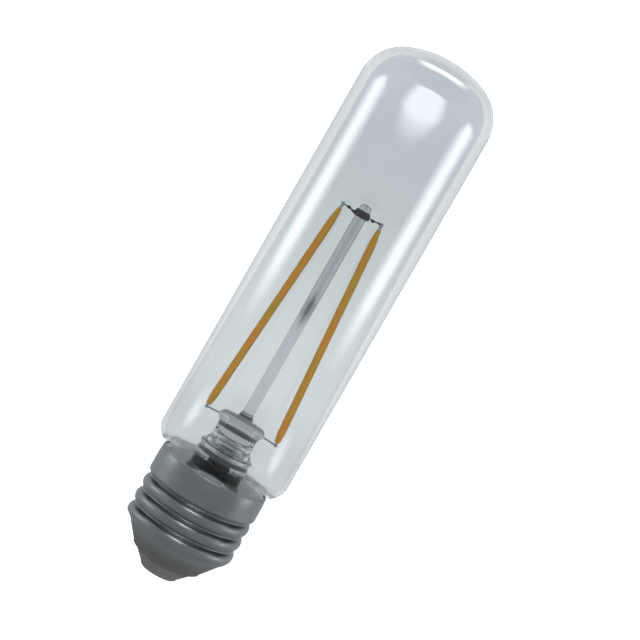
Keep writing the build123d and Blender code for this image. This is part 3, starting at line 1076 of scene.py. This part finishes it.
# %% [markdown]
# ## What the CAD nodes keep
#
# The dies inside the sleeves and the driver in the cap have their right shape in the CAD model. They keep it,
# and each gets a finish with the grain of its own material.

# %% Finishes for carried nodes
can_metal = satin_metal(
    "can_metal", (0.6, 0.6, 0.6), (0.5, 0.5, 0.5), roughness=0.3, line_pitch=0.1, line_depth=0.01
)
dark_case, case_cloud = (0.035, 0.035, 0.036), (0.02, 0.02, 0.022)
carried = {
    "die": moulded("die", (0.2, 0.28, 0.42), (0.12, 0.18, 0.3), roughness=0.2, grain=0.005),
    "board": moulded("board", (0.05, 0.17, 0.07), (0.03, 0.12, 0.05), roughness=0.35, grain=0.01),
    "can": can_metal,
    "component": moulded("component_case", dark_case, case_cloud, roughness=0.5, grain=0.02),
    "resistor": moulded("resistor_body", (0.3, 0.42, 0.5), (0.22, 0.32, 0.4), roughness=0.35, grain=0.01),
    "wire": lead_finish,
}
slot_of = {part["node"]: part["material_slot"] for part in frame["record"]["subparts"]}
for name, node in frame["nodes"].items():
    if slot_of[name] in carried and node.data is not None:
        node.data.materials.clear()
        node.data.materials.append(carried[slot_of[name]])
print("nodes with a carried finish", sum(slot in carried for slot in slot_of.values()))

# %% [markdown]
# ## Lamps that only show in reflections
#
# The photograph is a studio picture on white. Glass shows only what is round it, so what is round it matters
# more than the glass: tall soft lamps left and right for the two long reflections, one in front and one above
# for the dome, and low ones for the shoulder and the skirt. Area lamps have hard edges, so each of these is a
# card that glows less and less towards its edges. The camera doesn't see the cards, they give no diffuse
# light, and each shows in the glass alone or in the metal alone.

# %% A glowing card
lamp_colour = (0.93, 0.98, 1.0, 1.0)


def lamp_card(name, centre, across, up, glow, fade, droop=0.0, narrow=(0.0, 1.0), receivers=None):
    """A flat glowing card with edges that fade out, seen only in the reflections of some pieces.

    A point of it is centre + u w across + v up, with u and v from -1 to 1. Above a share of its height the
    width w goes down evenly to a part of it. The middle of the lower edge hangs down by droop. The glow falls
    off near the edges by a smooth step on the UV map. The card itself is clear, so it adds light and hides
    nothing.
    """
    centre, across, up = (np.asarray(v, float) for v in (centre, across, up))
    v, u = np.meshgrid(np.linspace(-1.0, 1.0, 17), np.linspace(-1.0, 1.0, 9), indexing="ij")
    high = (v + 1.0) / 2.0
    width = 1.0 - (1.0 - narrow[1]) * np.clip((high - narrow[0]) / (1.0 - narrow[0]), 0.0, 1.0)
    points = centre + (u * width)[..., None] * across + v[..., None] * up
    points -= ((1.0 - u**2) * (1.0 - high) * droop)[..., None] * up / np.linalg.norm(up)
    columns = u.shape[1]
    first = (np.arange(u.shape[0] - 1)[:, None] * columns + np.arange(columns - 1)).ravel()
    quads = np.stack([first, first + 1, first + columns + 1, first + columns], axis=1)
    mesh = bpy.data.meshes.new(name)
    mesh.from_pydata((points.reshape(-1, 3) * MM).tolist(), [], quads.tolist())
    shares = np.stack([(u + 1.0) / 2.0, high], axis=-1).reshape(-1, 2)
    mesh.uv_layers.new(name="card").data.foreach_set("uv", shares[quads.ravel()].ravel())

    made, finish = material(name)
    uv = finish.node("ShaderNodeUVMap", {"uv_map": "card"})
    strength = glow
    for axis, (edge_low, edge_high) in zip("XY", fade):
        part = finish.node("ShaderNodeSeparateXYZ", {}, {0: uv}, axis)
        for distance, edge in ((part, edge_low), (1.0 - part, edge_high)):
            strength = strength * smooth_step(finish, distance, 0.0, edge, 0.0, 1.0)
    light = finish.node("ShaderNodeEmission", {}, {"Color": lamp_colour, "Strength": strength})
    behind = finish.node("ShaderNodeBsdfTransparent")
    both = finish.node("ShaderNodeAddShader", {}, {0: light, 1: behind})
    finish.node("ShaderNodeOutputMaterial", {}, {"Surface": both})
    mesh.materials.append(made)

    card = bpy.data.objects.new(name, mesh)
    bpy.context.scene.collection.objects.link(card)
    card.visible_camera = False
    card.visible_diffuse = False
    card.visible_transmission = False
    card.visible_shadow = False
    card.light_linking.receiver_collection = receivers


# %% Lamps at the sides
def group(name, *members):
    """A collection that a lamp can be limited to."""
    made = bpy.data.collections.new(name)
    for member in members:
        made.objects.link(member)
    return made


glass_pieces = group("glass_pieces", envelope, stem, exhaust)
metal_pieces = group("metal_pieces", shell, insulator, contact)
for piece in glass_pieces.objects:
    piece.visible_shadow = False

for side, sign in sides:
    lamp_card(
        f"{side}_lamp",
        centre=(sign * 300.0, -35.0, 128.0),
        across=(0.0, 120.0, 0.0),
        up=(0.0, 0.0, 116.0),
        glow=10.0,
        fade=[(0.5, 0.5), (0.17, 0.4)],
        narrow=(0.42, 0.2),
        receivers=glass_pieces,
    )
    lamp_card(
        f"low_{side}_lamp",
        centre=(sign * 300.0, -55.0, -12.2),
        across=(0.0, 90.0, 0.0),
        up=(0.0, 0.0, 10.2),
        glow=5.3,
        fade=[(0.5, 0.5), (0.3, 0.7)],
        receivers=glass_pieces,
    )
    lamp_card(
        f"{side}_skirt_lamp",
        centre=(sign * 320.0, 0.0, 18.0),
        across=(0.0, 140.0, 0.0),
        up=(0.0, 0.0, 22.0),
        glow=1.8,
        fade=[(0.5, 0.5), (0.3, 0.3)],
        receivers=metal_pieces,
    )

# %% Lamps in front and above
lamp_card(
    "front_lamp",
    centre=(0.0, -400.0, 359.5),
    across=(330.0, 0.0, 0.0),
    up=(0.0, 0.0, 280.5),
    glow=9.5,
    fade=[(0.3, 0.3), (0.026, 0.1)],
    droop=1.5,
    receivers=glass_pieces,
)
lamp_card(
    "top_lamp",
    centre=(0.0, 152.0, 420.0),
    across=(150.0, 0.0, 0.0),
    up=(0.0, 88.0, 0.0),
    glow=7.8,
    fade=[(0.35, 0.35), (0.35, 0.35)],
    receivers=glass_pieces,
)
lamp_card(
    "cap_lamp",
    centre=(0.0, -440.0, 240.0),
    across=(150.0, 0.0, 0.0),
    up=(0.0, 20.0, 40.0),
    glow=5.0,
    fade=[(0.3, 0.3), (0.3, 0.3)],
    receivers=metal_pieces,
)

# %% [markdown]
# ## Sky and floor
#
# The camera sees plain white. A mirrored ray sees a grey room instead, with a dark ceiling behind and above,
# because that darkness draws the grooves of the thread. A ray that passed glass sees white that gets darker
# high up and low down, which draws the thick places of the stem. All other rays see an even pale light. The
# floor does the same and keeps the bulb's shadow.

# %% Kinds of ray
def ray_kinds(finish):
    """Four signals that are one for camera rays, mirrored rays, rays that passed glass, and all others.

    A ray through clear glass counts as glossy too, so the mirrored ones are the glossy ones that didn't pass.
    """
    kinds = ("Camera", "Glossy", "Transmission")
    camera, glossy, passing = [finish.node("ShaderNodeLightPath", {}, {}, f"Is {kind} Ray") for kind in kinds]
    others = 1.0 - camera.larger(glossy).larger(passing)
    return camera, glossy * (1.0 - passing), passing, others


# %% Sky
white = (1.0, 1.0, 1.0, 1.0)
ambient = 0.62
room_front, room_back, room_turns = 0.3, 0.48, (-0.9, -0.1)
white_starts = (0.8, 0.97)
steep_dark, passed_dims = 0.35, (0.66, 0.92)
back_starts, ceiling_starts, steep_starts = (-0.15, 0.2), (0.2, 0.45), (0.5, 0.64)
overhead_share, overhead_starts = 0.3, (0.8, 0.95)
mirrored_dark, sharp_share = 0.97, 0.5

sky = bpy.data.worlds.new("studio")
sky.use_nodes = True
bpy.context.scene.world = sky
finish = Finish(sky)
direction = finish.node("ShaderNodeTexCoord", {}, {}, "Generated")
backward, upward = [finish.node("ShaderNodeSeparateXYZ", {}, {0: direction}, axis) for axis in "YZ"]
camera_ray, glossy_ray, passing_ray, other_ray = ray_kinds(finish)
sharp_ray = finish.node("ShaderNodeLightPath", {}, {}, "Is Singular Ray")
passed = smooth_step(finish, abs(upward), *passed_dims, 1.0, steep_dark)
back_half = smooth_step(finish, backward, *back_starts, 0.0, 1.0)
behind = back_half * smooth_step(finish, upward, *ceiling_starts, 0.0, 1.0)
steep = smooth_step(finish, upward, *steep_starts, 0.0, 1.0)
overhead = smooth_step(finish, upward, *overhead_starts, 1.0, overhead_share)
ceiling = 1.0 - behind.larger(steep) * overhead * (1.0 - sharp_ray * sharp_share) * mirrored_dark
white_behind = smooth_step(finish, backward, *white_starts, 0.0, 1.0 - room_back) * sharp_ray
room = smooth_step(finish, backward, *room_turns, room_front, room_back) + white_behind
level = camera_ray + passing_ray * passed + glossy_ray * ceiling * room + other_ray * ambient
sky_light = finish.node("ShaderNodeBackground", {}, {"Color": white, "Strength": level})
finish.node("ShaderNodeOutputWorld", {}, {"Surface": sky_light})
print("sky nodes", len(sky.node_tree.nodes))

# %% Floor
floor_height, floor_reach = -60.0, 6000.0
paper_grey = (0.86, 0.86, 0.86, 1.0)
near_to_far, passed_near, mirrored_near = (60.0, 300.0), 0.45, 0.6
backdrop_starts, backdrop_near = (200.0, 700.0), 0.45
floor_turns = (-300.0, 0.0)

floor_mesh = bpy.data.meshes.new("floor")
floor_corners = np.array([(-1, -1, 0), (1, -1, 0), (1, 1, 0), (-1, 1, 0)], float) * floor_reach
floor_mesh.from_pydata(((floor_corners + [0, 0, floor_height]) * MM).tolist(), [], [(0, 1, 2, 3)])
floor_finish, finish = material("floor")
camera_ray, glossy_ray, passing_ray, other_ray = ray_kinds(finish)
where, (_, floor_back, _) = place(finish)
away = finish.node("ShaderNodeVectorMath", {"operation": "LENGTH"}, {0: where}, 1)
passed_level = step_mm(finish, away, *near_to_far, passed_near, 1.0)
mirrored_level = step_mm(finish, away, *near_to_far, mirrored_near, 1.0)
floor_room = step_mm(finish, floor_back, *floor_turns, room_front, room_back)
mirrored = glossy_ray * mirrored_level * floor_room + passing_ray * passed_level
backdrop = step_mm(finish, away, *backdrop_starts, backdrop_near, 1.0)
paper = finish.node("ShaderNodeBsdfDiffuse", {}, {"Color": paper_grey})
lit = finish.node("ShaderNodeEmission", {}, {"Color": white, "Strength": camera_ray * backdrop})
shadowed = finish.node("ShaderNodeAddShader", {}, {0: paper, 1: lit})
seen = finish.node("ShaderNodeEmission", {}, {"Color": white, "Strength": mirrored})
both = finish.node("ShaderNodeMixShader", {}, {0: glossy_ray.larger(passing_ray), 1: shadowed, 2: seen})
finish.node("ShaderNodeOutputMaterial", {}, {"Surface": both})
floor_mesh.materials.append(floor_finish)
floor = bpy.data.objects.new("floor", floor_mesh)
bpy.context.scene.collection.objects.link(floor)

# %% [markdown]
# ## Soft studio lamps
#
# Two large area lamps give the metal, the wires and the phosphor their soft light and shade. They are kept
# out of the reflections, which the cards already make.

# %% Studio lamps
def soft_lamp(name, place_mm, size_mm, power):
    """A square area lamp that points at the middle of the bulb. It lights surfaces and isn't mirrored."""
    lamp = bpy.data.lights.new(name, "AREA")
    lamp.shape = "SQUARE"
    lamp.size = size_mm * MM
    lamp.energy = power
    made = bpy.data.objects.new(name, lamp)
    bpy.context.scene.collection.objects.link(made)
    spot = Vector(place_mm) * MM
    aim = Vector((0.0, 0.0, crown_height / 2)) * MM
    made.matrix_world = (aim - spot).to_track_quat("-Z", "Y").to_matrix().to_4x4()
    made.location = spot
    made.visible_glossy = False
    made.visible_transmission = False
    print(name, "power", power)


soft_lamp("key_lamp", (-700.0, -900.0, 900.0), size_mm=700.0, power=9.0)
soft_lamp("fill_lamp", (800.0, -500.0, 700.0), size_mm=700.0, power=5.0)

# %% [markdown]
# ## Camera
#
# The photograph looks at the bulb almost square on, a little from the dome's side, and the bulb leans across
# the picture. The model stays upright, so the camera is rolled instead. It stands far off with a long lens
# and is moved sideways in its own plane, which puts the bulb where the photograph has it, with no lens shift.

# %% Camera
image_side = 640
pixels_per_mm = 4.512
distance = 800.0
rise_angle = np.radians(8.0)
lean = np.radians(29.86)
aim_height = 68.16
aim_pixel = (306.9, 311.0)
sensor = 36.0
farthest = 100.0

forward = np.array([0.0, np.cos(rise_angle), -np.sin(rise_angle)])
level_right = np.array([1.0, 0.0, 0.0])
level_up = np.cross(level_right, forward)
right = np.cos(lean) * level_right + np.sin(lean) * level_up
up = -np.sin(lean) * level_right + np.cos(lean) * level_up
offset = (image_side / 2 - np.array(aim_pixel)) / pixels_per_mm
eye = np.array([0.0, 0.0, aim_height]) - distance * forward + offset[0] * right - offset[1] * up
lens = bpy.data.cameras.new("camera")
lens.sensor_width = sensor
lens.lens = pixels_per_mm * sensor * distance / image_side
lens.clip_end = farthest
camera = bpy.data.objects.new("camera", lens)
bpy.context.scene.collection.objects.link(camera)
turned_to = Matrix(np.stack([right, up, -forward], axis=1).tolist()).to_4x4()
camera.matrix_world = Matrix.Translation(Vector(eye * MM)) @ turned_to
bpy.context.scene.camera = camera
print("lens", round(lens.lens, 1), "eye", np.round(eye, 1))

# %% [markdown]
# ## Picture settings
#
# Light crosses many walls of glass here, clear and faded ones, so the paths of light may bounce and pass more
# often than usual. With fewer crossings the middle of the stem would turn black.

# %% Picture settings
most_crossings, most_mirrorings = 32, 16
bpy.context.scene.view_settings.view_transform = "Standard"
cycles = bpy.context.scene.cycles
cycles.max_bounces = most_crossings
cycles.transmission_bounces = most_crossings
cycles.transparent_max_bounces = most_crossings
cycles.glossy_bounces = most_mirrorings
